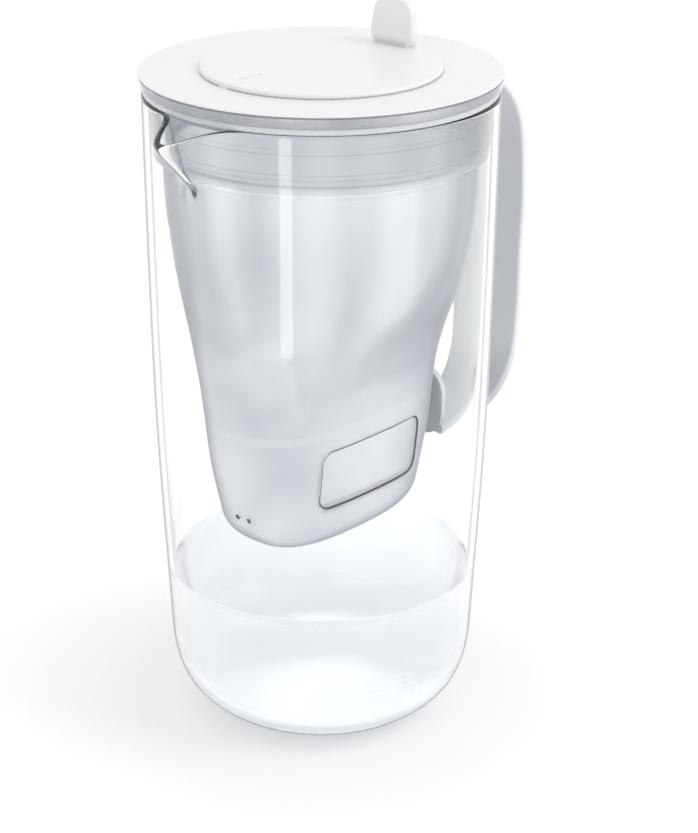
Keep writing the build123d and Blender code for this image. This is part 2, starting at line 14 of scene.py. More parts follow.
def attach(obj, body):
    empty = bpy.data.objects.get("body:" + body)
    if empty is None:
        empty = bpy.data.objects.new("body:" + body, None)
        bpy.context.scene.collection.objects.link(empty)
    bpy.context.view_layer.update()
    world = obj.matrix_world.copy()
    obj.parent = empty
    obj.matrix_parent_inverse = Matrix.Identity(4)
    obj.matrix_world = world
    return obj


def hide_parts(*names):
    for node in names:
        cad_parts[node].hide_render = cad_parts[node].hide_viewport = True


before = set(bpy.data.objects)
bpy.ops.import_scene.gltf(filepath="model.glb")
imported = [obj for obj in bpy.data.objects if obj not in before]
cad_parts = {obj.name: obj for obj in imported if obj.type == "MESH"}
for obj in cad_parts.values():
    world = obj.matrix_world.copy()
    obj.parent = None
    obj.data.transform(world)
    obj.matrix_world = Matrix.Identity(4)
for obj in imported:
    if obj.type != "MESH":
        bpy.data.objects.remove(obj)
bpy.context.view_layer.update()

MM = 0.001
WELD = 0.002

# Levels that the shapes and the finishes go by
FOOT_TOP = 34.0
WATER_LEVEL = 63.5
LEDGE_LOW = 130.5
LEDGE_TOP = 133.0
NECK = 234.4
COLLAR_FOOT = 235.2
FLANGE_FOOT = 260.2


# Selecting and finishing


def nothing():
    """Leaves no object selected, in object mode."""
    if bpy.context.object and bpy.context.object.mode != "OBJECT":
        bpy.ops.object.mode_set(mode="OBJECT")
    bpy.ops.object.select_all(action="DESELECT")


def only(thing):
    """Leaves nothing but one object selected and active."""
    nothing()
    thing.select_set(True)
    bpy.context.view_layer.objects.active = thing


def pick_edges(test):
    """Selects the edges of the edited piece that pass a test."""
    bpy.ops.mesh.select_all(action="DESELECT")
    bpy.ops.mesh.select_mode(type="EDGE")
    mesh = bmesh.from_edit_mesh(bpy.context.object.data)
    for edge in mesh.edges:
        edge.select_set(test(edge))
    mesh.select_flush_mode()
    bmesh.update_edit_mesh(bpy.context.object.data)


def place_vertices(rule):
    """Moves every vertex of the edited piece to where a rule says."""
    mesh = bmesh.from_edit_mesh(bpy.context.object.data)
    for vertex in mesh.verts:
        vertex.co = rule(vertex.co)
    bmesh.update_edit_mesh(bpy.context.object.data)


def outward():
    """Merges what lies together and turns the faces of the edited piece outward."""
    bpy.ops.mesh.select_all(action="SELECT")
    bpy.ops.mesh.remove_doubles(threshold=WELD * MM)
    bpy.ops.mesh.normals_make_consistent(inside=False)


def apply_modifier(piece, kind, **settings):
    only(piece)
    modifier = piece.modifiers.new(kind.title(), kind)
    for key, value in settings.items():
        setattr(modifier, key, value)
    bpy.ops.object.modifier_apply(modifier=modifier.name)


def cut(piece, cutter, operation="DIFFERENCE"):
    """Cuts a piece with another, or joins it on, and removes the tool."""
    apply_modifier(piece, "BOOLEAN", object=cutter, operation=operation, solver="EXACT")
    bpy.data.objects.remove(cutter, do_unlink=True)


def complete(piece, name, material, body, nodes=(), smooth=32.0):
    """Names the piece, smooths it, gives it its finish and puts it on its body."""
    only(piece)
    bpy.ops.object.transform_apply(location=True, rotation=True, scale=True)
    bpy.ops.object.shade_smooth_by_angle(angle=radians(smooth))
    piece.name = name
    piece.data.name = name
    piece.data.materials.clear()
    piece.data.materials.append(material)
    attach(piece, body)
    if nodes:
        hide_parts(*nodes)


def even(piece):
    """Keeps the shading of broad faces flat beside small rounded edges."""
    normals = piece.modifiers.new("Even", "WEIGHTED_NORMAL")
    normals.keep_sharp = True


def second_finish(piece, material, test):
    """Gives another finish to the faces that a test finds by their middle and normal."""
    piece.data.materials.append(material)
    for face in piece.data.polygons:
        if test(face.center / MM, face.normal):
            face.material_index = 1


def smooth_copy(node, material, body, bevel=0.0):
    """A welded copy of a CAD node, with even normals and, if wanted, soft edges."""
    nothing()
    name = node + "_moulded"
    piece = bpy.data.objects.new(name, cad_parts[node].data.copy())
    bpy.context.scene.collection.objects.link(piece)
    only(piece)
    bpy.ops.object.mode_set(mode="EDIT")
    bpy.ops.mesh.select_all(action="SELECT")
    bpy.ops.mesh.remove_doubles(threshold=WELD * MM)
    bpy.ops.object.mode_set(mode="OBJECT")
    complete(piece, name, material, body, [node])
    if bevel:
        sharp = radians(40)
        soft = {"width": bevel * MM, "segments": 2}
        apply_modifier(piece, "BEVEL", limit_method="ANGLE", angle_limit=sharp, **soft)
    even(piece)


# Growing shells ring by ring


def start_ring(radius, level, corners, fill):
    """A circle at its level in edit mode, selected all over."""
    nothing()
    bpy.ops.mesh.primitive_circle_add(
        vertices=corners, radius=radius, fill_type=fill, location=(0, 0, 0)
    )
    bpy.ops.object.mode_set(mode="EDIT")
    bpy.ops.mesh.select_all(action="SELECT")
    bpy.ops.transform.translate(value=(0, 0, level))


def go_on(rings):
    """Extrudes the selected ring, which is the first given, to each of the others."""
    for (radius, level), (next_radius, next_level) in zip(rings, rings[1:]):
        rise = (0, 0, next_level - level)
        bpy.ops.mesh.extrude_edges_move(TRANSFORM_OT_translate={"value": rise})
        stretch = next_radius / radius
        middle = (0, 0, next_level)
        bpy.ops.transform.resize(value=(stretch, stretch, 1), center_override=middle)


def grow(rings, corners):
    """A round shell grown from a small disc to its closing pole. A ring is (radius, level)."""
    rings = scaled(rings)
    start_ring(*rings[0], corners, "TRIFAN")
    bpy.ops.mesh.region_to_loop()
    go_on(rings)
    bpy.ops.mesh.merge(type="CENTER")
    return bpy.context.object


def grow_ring(section, corners):
    """A ring with a closed section, from its first (radius, level) all the way round and back."""
    section = scaled(section)
    start_ring(*section[0], corners, "NOTHING")
    go_on(section + section[:1])
    outward()
    return bpy.context.object


def scaled(points):
    return [(radius * MM, level * MM) for radius, level in points]


def curve(start, start_handle, end_handle, end, count):
    """Points of one soft bend in a section, as (radius, level)."""
    corners = [Vector((*spot, 0)) for spot in (start, start_handle, end_handle, end)]
    return [(spot.x, spot.y) for spot in interpolate_bezier(*corners, count)]


def through(points, count):
    """A smooth line through points of any length, count steps between each two."""
    line = []
    last = len(points) - 1
    for i in range(last):
        before = Vector(points[max(i - 1, 0)])
        here = Vector(points[i])
        there = Vector(points[i + 1])
        after = Vector(points[min(i + 2, last)])
        for step in range(count):
            t = step / count
            first = (there - before) * t
            second = (2 * before - 5 * here + 4 * there - after) * t * t
            third = (3 * here - before - 3 * there + after) * t ** 3
            line.append(0.5 * (2 * here + first + second + third))
    line.append(Vector(points[-1]))
    return line


def on_oval(spot, before, after):
    """Where a vertex of one oval goes on the next.

    An oval is (level, half length, half width, squareness)."""
    across = abs(spot.x / MM / before[1]) ** (before[3] / 2)
    beside = abs(spot.y / MM / before[2]) ** (before[3] / 2)
    turn = atan2(copysign(beside, spot.y), copysign(across, spot.x))
    x = after[1] * copysign(abs(cos(turn)) ** (2 / after[3]), cos(turn))
    y = after[2] * copysign(abs(sin(turn)) ** (2 / after[3]), sin(turn))
    return Vector((x, y, after[0])) * MM


def grow_ovals(ovals, corners):
    """A shell grown from a small disc, one oval after the other, and closed at its last."""
    start_ring(MM, ovals[0][0] * MM, corners, "TRIFAN")
    bpy.ops.mesh.region_to_loop()
    before = (0.0, 1.0, 1.0, 2.0)
    for after in ovals:
        bpy.ops.mesh.extrude_edges_move(TRANSFORM_OT_translate={"value": (0, 0, 0)})
        mesh = bmesh.from_edit_mesh(bpy.context.object.data)
        for vertex in mesh.verts:
            if vertex.select:
                vertex.co = on_oval(vertex.co, before, after)
        bmesh.update_edit_mesh(bpy.context.object.data)
        before = after
    bpy.ops.mesh.merge(type="CENTER")
    outward()
    return bpy.context.object


def along_axis(edge, axis):
    direction = (edge.verts[0].co - edge.verts[1].co).normalized()
    return abs(direction[axis]) > 0.9


def block(size, middle, axis, edge_round):
    """A block with the edges along one axis rounded."""
    nothing()
    place = [value * MM for value in middle]
    bpy.ops.mesh.primitive_cube_add(size=MM, location=place)
    bpy.ops.object.transform_apply(location=True, rotation=True, scale=True)
    bpy.ops.object.mode_set(mode="EDIT")
    bpy.ops.mesh.select_all(action="SELECT")
    bpy.ops.transform.resize(value=size, center_override=place)
    pick_edges(lambda edge: along_axis(edge, axis))
    bpy.ops.mesh.bevel(offset=edge_round * MM, segments=8, affect="EDGES")
    return bpy.context.object


def round_bar(radius, length, middle, axis):
    """A round bar along the X axis, 0, or the Y axis, 1."""
    nothing()
    turn = {0: (0, pi / 2, 0), 1: (pi / 2, 0, 0)}[axis]
    place = [value * MM for value in middle]
    bpy.ops.mesh.primitive_cylinder_add(
        vertices=32, radius=radius * MM, depth=length * MM, location=place, rotation=turn
    )
    bpy.ops.object.transform_apply(location=True, rotation=True, scale=True)
    return bpy.context.object


# Finishes

# The Mix node has its sockets once for each kind of data. These are the ones for colours.
MIX_FIRST, MIX_SECOND, MIX_RESULT = 6, 7, 2


class Link:
    """A socket of a material tree, with arithmetic that adds Math nodes."""

    def __init__(self, finish, socket):
        self.finish = finish
        self.socket = socket

    def maths(self, operation, first, second):
        return self.finish.node("ShaderNodeMath", {"operation": operation}, {0: first, 1: second})

    def __add__(self, other):
        return self.maths("ADD", self, other)

    def __radd__(self, other):
        return self.maths("ADD", other, self)

    def __sub__(self, other):
        return self.maths("SUBTRACT", self, other)

    def __rsub__(self, other):
        return self.maths("SUBTRACT", other, self)

    def __mul__(self, other):
        return self.maths("MULTIPLY", self, other)

    def __rmul__(self, other):
        return self.maths("MULTIPLY", other, self)

    def above(self, other):
        return self.maths("GREATER_THAN", self, other)

    def or_more(self, other):
        """The greater of two values."""
        return self.maths("MAXIMUM", self, other)


class Finish:
    """One material: a Principled shader with constants on its sockets and links for the rest."""

    def __init__(self, name, **constants):
        self.material = bpy.data.materials.new(name)
        self.material.use_nodes = True
        self.tree = self.material.node_tree
        self.shader = self.tree.nodes["Principled BSDF"]
        for word, value in constants.items():
            socket = "IOR" if word == "ior" else word.replace("_", " ").title()
            self.shader.inputs[socket].default_value = value
        self.place = self.node("ShaderNodeTexCoord", output="Object")
        self.height = None

    def node(self, kind, settings=None, values=None, output=0):
        """Adds a node, sets its settings first and then its sockets, and gives one output."""
        made = self.tree.nodes.new(kind)
        for key, value in (settings or {}).items():
            setattr(made, key, value)
        for key, value in (values or {}).items():
            if isinstance(value, Link):
                self.tree.links.new(value.socket, made.inputs[key])
            else:
                made.inputs[key].default_value = value
        return Link(self, made.outputs[output])

    def feed(self, socket, link):
        self.tree.links.new(link.socket, self.shader.inputs[socket])

    def mix_in(self, factor, colour, glow, roughness):
        """Mixes a second shader, with a colour and a glow of its own, over the first."""
        sockets = {"Base Color": colour, "Emission Color": glow}
        sockets.update({"Emission Strength": 1.0, "Roughness": roughness})
        over = self.node("ShaderNodeBsdfPrincipled", {}, sockets)
        under = Link(self, self.shader.outputs[0])
        mixed = self.node("ShaderNodeMixShader", {}, {0: factor, 1: under, 2: over})
        self.tree.links.new(mixed.socket, self.tree.nodes["Material Output"].inputs["Surface"])

    def noise(self, scale, detail=2.0, stretch=None):
        spot = self.place
        if stretch:
            spot = self.node("ShaderNodeMapping", {}, {"Vector": spot, "Scale": stretch})
        values = {"Vector": spot, "Scale": scale, "Detail": detail}
        return self.node("ShaderNodeTexNoise", {}, values)

    def spread(self, link, low, high, new_low=0.0, new_high=1.0):
        """Turns the range from low to high into a new one, and holds it at its ends."""
        values = {0: link, 1: low, 2: high, 3: new_low, 4: new_high}
        return self.node("ShaderNodeMapRange", {}, values)

    def blend(self, factor, first, second):
        """One colour that turns into another. Each is a link or three numbers."""
        pair = [shade if isinstance(shade, Link) else (*shade, 1) for shade in (first, second)]
        values = {0: factor, MIX_FIRST: pair[0], MIX_SECOND: pair[1]}
        return self.node("ShaderNodeMix", {"data_type": "RGBA"}, values, output=MIX_RESULT)

    def level(self):
        """Height in the object's frame, in metres."""
        if self.height is None:
            self.height = self.node("ShaderNodeSeparateXYZ", {}, {"Vector": self.place}, output="Z")
        return self.height

    def by_level(self, start, end, strength=1.0):
        """Nothing at the start level, full strength at the end level, both in millimetres."""
        return self.spread(self.level(), start * MM, end * MM, 0.0, strength)

    def band(self, rise, fall, strength):
        """Grows over one pair of levels and is lost again over a second pair."""
        return self.by_level(*rise, strength) - self.by_level(*fall, strength)

    def edge_on(self, start, end):
        """How far a surface is seen edge on, from nothing at start to full at end."""
        facing = self.node("ShaderNodeLayerWeight", {}, {"Blend": 0.5}, output="Facing")
        return self.spread(facing, start, end)

    def uneven_gloss(self, scale, low, high, detail=2.0):
        """Roughness that wanders between two values."""
        self.feed("Roughness", self.spread(self.noise(scale, detail), 0.3, 0.7, low, high))

    def bump(self, height, distance, strength):
        values = {"Height": height, "Distance": distance, "Strength": strength}
        self.feed("Normal", self.node("ShaderNodeBump", {}, values))


def glass_finish(name, wet=False):
    """Clear pressed glass, with painted shade that turns a wall grey where it is seen edge on, and
    a painted glow that makes the thick foot pale.

    A wet face keeps its edges clear below the water."""
    f = Finish(name, roughness=0.0, ior=1.47, transmission_weight=1.0)
    f.feed("Base Color", f.blend(f.noise(9.0), (0.99, 0.995, 0.995), (0.98, 0.99, 0.99)))
    # Painted shade: a dark grey is mixed in where a wall is seen edge on
    edge = f.edge_on(0.80, 0.87)
    if wet:
        edge = edge * f.by_level(WATER_LEVEL - 3.5, WATER_LEVEL + 2.5)
    grey = f.blend(f.noise(15.0), (0.20, 0.23, 0.27), (0.14, 0.17, 0.21))
    colour = f.blend(1 - edge, grey, (0.90, 0.92, 0.95))
    # Painted glow: the mix glows pale in the thick foot and not at the edges
    glow = f.blend(edge, (0.24, 0.25, 0.26), (0.0, 0.0, 0.0))
    pale = f.by_level(FOOT_TOP, 8.0, 0.36)
    f.mix_in(edge.or_more(pale), colour, glow, 0.2)
    f.bump(f.noise(22.0, 1.0, (1, 1, 0.35)), 0.05 * MM, 0.35)
    return f.material


def water_finish():
    """Still water with a trace of blue and soft pale clouds with a painted glow."""
    f = Finish("still_water", roughness=0.0, ior=1.09, transmission_weight=1.0)
    clouds = f.spread(f.noise(28.0), 0.35, 0.65)
    f.feed("Base Color", f.blend(clouds, (0.97, 0.98, 0.99), (0.93, 0.95, 0.98)))
    pale = f.blend(clouds, (0.96, 0.965, 0.975), (0.84, 0.85, 0.89))
    glow = f.blend(clouds, (0.64, 0.64, 0.64), (0.44, 0.44, 0.455))
    f.mix_in(clouds * 0.10 + 0.14, pale, glow, 0.3)
    f.bump(f.noise(35.0, 1.0), 0.08 * MM, 0.3)
    return f.material


def funnel_finish():
    """Clear plastic with a cool grey tint: milky chamber, glossy collar and rim, and painted light:
    dark edges, reflection streaks, shade in the collar and a glow in the haze.
    """
    f = Finish("tinted_plastic", ior=1.25, transmission_weight=1.0, coat_roughness=0.03)
    # Painted shade: a dark grey where a wall is seen edge on
    painted_edge_grey = (0.20, 0.22, 0.28)
    outline = f.edge_on(0.50, 0.78) - f.edge_on(0.84, 0.97) * 0.5
    blotches = f.spread(f.noise(24.0), 0.3, 0.7)
    # Painted reflections: soft vertical streaks on the bowl; random blotches in the chamber instead
    reflection_streaks = f.spread(f.noise(34.0, 2.0, (1, 1, 0.05)), 0.35, 0.65)
    reflections_and_blotches = reflection_streaks + (blotches - reflection_streaks) * f.by_level(180.0, 150.0)
    cloudy = f.level() + blotches * 0.02 - 0.01
    in_flange = f.by_level(FLANGE_FOOT - 0.2, FLANGE_FOOT + 0.2)

    # The clear plastic, with painted shade as a deeper tint in the collar and painted reflections
    # as bright and dark patches in the flange
    colour = f.blend(reflections_and_blotches, (0.99, 0.99, 0.995), (0.76, 0.775, 0.80))
    in_collar = f.by_level(COLLAR_FOOT - 1.5, COLLAR_FOOT + 1.5)
    colour = f.blend(in_collar, colour, (0.70, 0.72, 0.755))
    painted_reflection_patches = f.blend(reflection_streaks, (0.98, 0.985, 0.99), (0.58, 0.60, 0.64))
    colour = f.blend(in_flange, colour, painted_reflection_patches)
    f.feed("Base Color", f.blend(outline, colour, painted_edge_grey))
    f.feed("Coat Weight", in_flange)

    # Frosted up to the neck, and most of all in the chamber
    frosted = f.by_level(NECK - 0.9, NECK - 2.9, 0.26) + f.by_level(205.0, 165.0, 0.07)
    f.feed("Roughness", 0.03 + frosted + f.noise(30.0) * 0.05)

    # The haze: its colour, with a painted highlight as a pale line at the ledge and painted shade
    # as a dark line under the collar
    milk = f.blend(reflections_and_blotches, (0.95, 0.96, 0.98), (0.68, 0.70, 0.75))
    ledge = f.band((LEDGE_LOW - 0.7, LEDGE_LOW - 0.1), (LEDGE_TOP, LEDGE_TOP + 0.6), 0.5)
    milk = f.blend(ledge, milk, (0.96, 0.97, 0.98))
    foot = f.band((NECK - 0.4, NECK + 0.1), (COLLAR_FOOT, COLLAR_FOOT + 0.6), 0.7)
    milk = f.blend(foot, milk, (0.42, 0.44, 0.50))
    milk = f.blend(outline, milk, painted_edge_grey)

    # How much haze there is, and the painted glow that brightens it, streaked on the bowl and
    # dimmer in the chamber and the collar
    chamber = f.spread(cloudy, 0.205, 0.150, 0.24, 0.62)
    chamber = chamber - f.by_level(NECK - 2.9, NECK - 0.9, 0.24)
    neck = f.by_level(NECK - 1.9, NECK + 0.1, 0.42) - f.by_level(238.0, 241.5, 0.24)
    rim = f.by_level(256.0, 260.0, 0.08)
    glow = f.blend(reflection_streaks, (0.54, 0.55, 0.56), (0.27, 0.28, 0.295))
    glow = f.blend(f.spread(cloudy, 0.205, 0.172), glow, (0.17, 0.175, 0.185))
    glow = f.blend(f.by_level(NECK + 0.1, NECK + 2.1), glow, (0.15, 0.155, 0.16))
    f.mix_in(chamber + neck + rim, milk, glow, 0.35)
    return f.material


def moulded(name, light, dark, rough, grain, coat=0.0, glow=0.0, foot=None):
    """Moulded plastic: fine spark-eroded grain, faint flow marks and a slight change of gloss.

    Some of it has a painted glow, and the strap has painted shade that darkens it toward its foot."""
    f = Finish(
        name,
        coat_weight=coat,
        coat_roughness=0.12,
        subsurface_weight=0.05,
        subsurface_scale=1.0 * MM,
        emission_color=(1, 1, 1, 1),
        emission_strength=glow,
    )
    colour = f.blend(f.noise(16.0, 3.0), light, dark)
    # Painted shade: darker toward the foot of the strap
    if foot:
        colour = f.blend(f.by_level(128.0, 108.0), colour, foot)
    f.feed("Base Color", colour)
    f.uneven_gloss(60.0, rough - 0.05, rough + 0.05, 3.0)
    f.bump(f.noise(grain, 3.0) + f.noise(30.0, 1.0) * 0.6, 0.02 * MM, 0.35)
    return f.material


def rubber_finish():
    f = Finish("milky_silicone", transmission_weight=0.35, ior=1.4)
    f.feed("Base Color", f.blend(f.noise(40.0, 3.0), (0.86, 0.885, 0.91), (0.80, 0.83, 0.86)))
    f.uneven_gloss(300.0, 0.38, 0.5)
    return f.material


def window_finish():
    f = Finish("frosted_window", transmission_weight=0.1, ior=1.45)
    f.feed("Base Color", f.blend(f.noise(60.0), (0.86, 0.87, 0.89), (0.80, 0.82, 0.84)))
    f.uneven_gloss(400.0, 0.25, 0.4)
    return f.material


def steel_finish():
    f = Finish("drawn_steel", metallic=1.0)
    lines = f.noise(120.0, 4.0, (12, 0.6, 12))
    f.feed("Base Color", f.blend(lines, (0.66, 0.67, 0.68), (0.52, 0.53, 0.55)))
    f.feed("Roughness", f.spread(lines, 0.2, 0.8, 0.24, 0.42))
    return f.material


def board_finish():
    f = Finish("circuit_board")
    values = {"Vector": f.place, "Scale": 260.0, "Mortar Size": 0.06}
    tracks = f.node("ShaderNodeTexBrick", {}, values, output="Fac")
    f.feed("Base Color", f.blend(tracks, (0.04, 0.24, 0.12), (0.10, 0.42, 0.22)))
    f.uneven_gloss(90.0, 0.3, 0.45)
    return f.material


def mesh_finish():
    f = Finish("woven_screen")
    threads = {"Vector": f.place, "Scale": 700.0}
    across = f.node("ShaderNodeTexWave", {"bands_direction": "X"}, threads)
    beside = f.node("ShaderNodeTexWave", {"bands_direction": "Y"}, threads)
    weave = across.or_more(beside)
    f.feed("Base Color", f.blend(weave, (0.55, 0.56, 0.58), (0.88, 0.89, 0.9)))
    f.uneven_gloss(200.0, 0.5, 0.65)
    f.bump(weave, 0.1 * MM, 0.8)
    return f.material


def granule_finish():
    f = Finish("filter_grains")
    cells = {"Vector": f.place, "Scale": 900.0}
    grains = f.node("ShaderNodeTexVoronoi", {}, cells, output="Distance")
    kinds = f.node("ShaderNodeTexVoronoi", {}, cells, output="Color")
    pale = f.node("ShaderNodeSeparateColor", {}, {"Color": kinds}).above(0.62)
    f.feed("Base Color", f.blend(pale, (0.06, 0.05, 0.045), (0.62, 0.5, 0.3)))
    f.feed("Roughness", f.spread(grains, 0.0, 0.6, 0.4, 0.85))
    f.bump(grains, 0.4 * MM, 0.9)
    return f.material


glass = glass_finish("clear_glass")
wet_glass = glass_finish("clear_glass_inside", True)
water = water_finish()
tinted = funnel_finish()
groove_shade = moulded("groove_shade", (0.15, 0.165, 0.20), (0.12, 0.135, 0.17), 0.4, 1500.0)
white = moulded("lid_white", (0.80, 0.805, 0.81), (0.78, 0.785, 0.79), 0.34, 1500.0, coat=0.2)
# A dark grey for the lid's edge: a painted shade line under the lid's top
painted_lid_edge_shade = moulded("painted_lid_edge_shade", (0.28, 0.29, 0.31), (0.24, 0.25, 0.27), 0.4, 1500.0)
# The cartridge's glow is painted light that brightens it behind the frosted funnel
satin_white = moulded(
    "cartridge_white", (0.90, 0.905, 0.91), (0.87, 0.875, 0.88), 0.5, 1100.0, glow=0.28
)
# The strap's foot colour is painted shade, darker toward its lower end
grey = moulded(
    "handle_grey",
    (0.79, 0.81, 0.84),
    (0.75, 0.77, 0.80),
    0.42,
    1400.0,
    coat=0.1,
    foot=(0.50, 0.52, 0.56),
)
bond_grey = moulded("bond_grey", (0.56, 0.59, 0.65), (0.52, 0.55, 0.61), 0.4, 1400.0)
rubber = rubber_finish()
window = window_finish()
steel = steel_finish()
board = board_finish()
screen = mesh_finish()
granules = granule_finish()


# Glass jug

RIM = 257.5
WALL = 2.5
FLOOR = 6.0
CORNERS = 240
JUG_RADIUS = 68.0
FOOT_RADIUS = 31.0
CORNER = (53.6, 11.6)
SHOULDER = (61.2, 37.0)
WAIST = (66.2, 140.0)
FLAT_RINGS = (9.0, 20.0)

SPOUT_ROOT = 232.0
SPOUT_HEIGHT = 29.0
SPOUT_START = 68.3
SPOUT_LEAN = 0.94
SPOUT_REACH = 84.0
SPOUT_EASE = 3.0
SPOUT_SPAN = radians(24.0)
SPOUT_CORNERS = 42
ROOT_HALF_ANGLE = 6.0
ANGLE_GROWTH = 15.0
NOSE_RADIUS = 4.6
NOSE_GROWTH = 2.0
NOSE_OPENING = radians(52.0)
LIP_TIP_LEVEL = 252.5
LIP_DIP_START = 66.0
LIP_DIP_END = 87.0


def wall_line(inset, low):
    """Outline of the jug from its foot to just under the rim, moved inward by inset."""
    foot = (FOOT_RADIUS - 0.3 * inset, low)
    corner = (CORNER[0] - 0.72 * inset, CORNER[1] + 0.7 * inset)
    shoulder = (SHOULDER[0] - inset, SHOULDER[1] + 0.3 * inset)
    waist = (WAIST[0] - inset, WAIST[1])
    top = (JUG_RADIUS - inset, RIM - 1.1)
    corner_handles = (corner[0] - 5.8, corner[1] - 6.6), (corner[0] + 5.6, corner[1] + 6.9)
    shoulder_handles = (shoulder[0] - 0.5, shoulder[1] - 9.5), (shoulder[0] + 1.9, 71.0)
    waist_handles = (waist[0] - 0.85, 106.0), (waist[0] + 0.8, 173.0)
    line = []
    for bend in (
        (foot, (foot[0] + 8.8, low), corner_handles[0], corner, 9),
        (corner, corner_handles[1], shoulder_handles[0], shoulder, 9),
        (shoulder, shoulder_handles[1], waist_handles[0], waist, 12),
        (waist, waist_handles[1], (top[0] - 0.3, 222.0), top, 34),
    ):
        line += curve(*bend)[:-1]
    return line + [(top[0] - 0.004, top[1] - 0.5), top]


def held(value):
    """Keeps a share between nothing and one."""
    return min(max(value, 0.0), 1.0)


def spout_outline(level, inset, wall):
    """Half outline of the spout at a level, as points from the round wall to the nose."""
    reach = SPOUT_START + SPOUT_LEAN * (level - SPOUT_ROOT)
    if reach >= SPOUT_REACH:
        reach = SPOUT_REACH + SPOUT_EASE * (1 - exp((SPOUT_REACH - reach) / SPOUT_EASE))
    grown = held((level - SPOUT_ROOT) / SPOUT_HEIGHT)
    nose = NOSE_RADIUS + NOSE_GROWTH * grown - inset
    half_angle = radians(ROOT_HALF_ANGLE + ANGLE_GROWTH * grown)
    centre = reach - inset - nose

    def on_wall(turn):
        return Vector((wall * cos(turn), wall * sin(turn), 0))

    def on_nose(turn):
        return Vector((centre + nose * cos(turn), nose * sin(turn), 0))

    start = on_wall(half_angle)
    end = on_nose(NOSE_OPENING)
    pull = (end - start).length * 0.36
    off_wall = start + Vector((sin(half_angle), -cos(half_angle), 0)) * pull
    onto_nose = end + Vector((-sin(NOSE_OPENING), cos(NOSE_OPENING), 0)) * pull
    points = [on_wall(SPOUT_SPAN + (half_angle - SPOUT_SPAN) * step / 9) for step in range(9)]
    points += interpolate_bezier(start, off_wall, onto_nose, end, 14)
    points += [on_nose(NOSE_OPENING * (1 - step / 8)) for step in range(1, 9)]
    return points


def along(points, share):
    """The point at a share of the length of a line of points."""
    lengths = [(b - a).length for a, b in zip(points, points[1:])]
    left = share * sum(lengths)
    for a, b, length in zip(points, points[1:], lengths):
        if left <= length:
            return a.lerp(b, left / length if length else 0)
        left -= length
    return points[-1]


def jug_rings():
    """The whole section of the jug, up the outside, over the lip and down the inside."""
    outer = wall_line(0.0, 0.0)
    inner = wall_line(WALL, FLOOR)
    lip = [(67.7, RIM - 0.32), (67.1, RIM - 0.03), (66.4, RIM - 0.03), (65.8, RIM - 0.32)]
    under = [(radius, 0.0) for radius in FLAT_RINGS]
    return under + outer + lip + inner[::-1] + [(18.0, FLOOR), (8.0, FLOOR)]


def jug_wall(level):
    """Outer radius of the jug in the height of the spout, where the wall leans a little."""
    return JUG_RADIUS - 0.45 * ((RIM - level) / 28.0)


def spread_spout():
    """Rule that gives each vertex of the round jug its place, with the spout drawn out."""
    outlines = {}
    zone = 2 * pi * SPOUT_CORNERS / CORNERS

    def on_round(radius, turn, level):
        return Vector((-radius * cos(turn), radius * sin(turn), level)) * MM

    def rule(spot):
        radius = hypot(spot.x, spot.y) / MM
        level = spot.z / MM
        if radius < 1:
            return spot
        turn = atan2(spot.y, -spot.x)
        side = copysign(1.0, turn)
        if abs(turn) > zone + 1e-6:
            rest = (abs(turn) - zone) * (pi - SPOUT_SPAN) / (pi - zone)
            return on_round(radius, side * (SPOUT_SPAN + rest), level)
        share = 1 - abs(turn) / zone
        if level <= SPOUT_ROOT:
            return on_round(radius, side * SPOUT_SPAN * (1 - share), level)
        inset = max(jug_wall(level) - radius, 0.0)
        dip = (RIM - LIP_TIP_LEVEL) * (level - SPOUT_ROOT) / (RIM - SPOUT_ROOT)
        drop = 0.0
        for _ in range(3):
            key = (round(level, 3), round(radius, 3), round(drop, 3))
            if key not in outlines:
                outlines[key] = spout_outline(level - drop, inset, radius)
            point = along(outlines[key], share)
            beyond = held((point.x - LIP_DIP_START) / (LIP_DIP_END - LIP_DIP_START))
            drop = dip * beyond ** 1.5
        return Vector((-point.x, side * point.y, level - drop)) * MM

    return rule


def make_jug():
    jug = grow(jug_rings(), CORNERS)
    place_vertices(spread_spout())
    outward()
    complete(jug, "jug_glass_body", glass, "jug", ["glass_jug"], 50.0)

    def inside(spot, normal):
        inward = spot.x * normal.x + spot.y * normal.y < 0
        return inward or (normal.z > 0.5 and spot.z < 30)

    second_finish(jug, wet_glass, inside)


# Water in the jug


def make_water():
    """The filtered water, a hair inside the glass, its edge drawn up a little at the wall."""
    gap = 0.05
    edge = 60.3
    low = FLOOR + gap
    under = [(radius, low) for radius in FLAT_RINGS]
    wall = [(radius - gap, level) for radius, level in wall_line(WALL, low)]
    wall = [(radius, level) for radius, level in wall if level < WATER_LEVEL - 1]
    drawn_up = [(edge - gap, WATER_LEVEL + 0.5), (edge - 0.5, WATER_LEVEL + 0.12)]
    top = [(edge - 1.5, WATER_LEVEL), (40.0, WATER_LEVEL), (12.0, WATER_LEVEL)]
    fill = grow(under + wall + drawn_up + top, 192)
    outward()
    complete(fill, "water_fill", water, "jug", smooth=60.0)


# Strap handle

STRAP_THICK = 4.0
STRAP_EDGE = 1.3
STRAP_HALF_TOP = 16.0
STRAP_HALF_BOTTOM = 12.5
STRAP_TAPER = (96.0, 190.0)
BOND = 0.6
PAD_THICK = 3.0
PAD_HALF_WIDTH = 11.5
PADS = [(97.5, 126.0, 10.9), (236.0, 254.0, 8.4)]
STRAP_POINTS = [
    (66.0, 251.0),
    (78.0, 251.0),
    (89.0, 246.9),
    (98.2, 239.6),
    (105.8, 225.5),
    (108.55, 200.0),
    (108.6, 170.0),
    (109.3, 143.5),
    (107.0, 122.5),
    (97.0, 108.6),
    (81.0, 103.2),
    (63.0, 101.6),
]


def strap_width(level):
    """The strap gets narrower toward its lower end."""
    low, high = STRAP_TAPER
    share = held((level - low) / (high - low))
    return 2 * (STRAP_HALF_BOTTOM + (STRAP_HALF_TOP - STRAP_HALF_BOTTOM) * share)


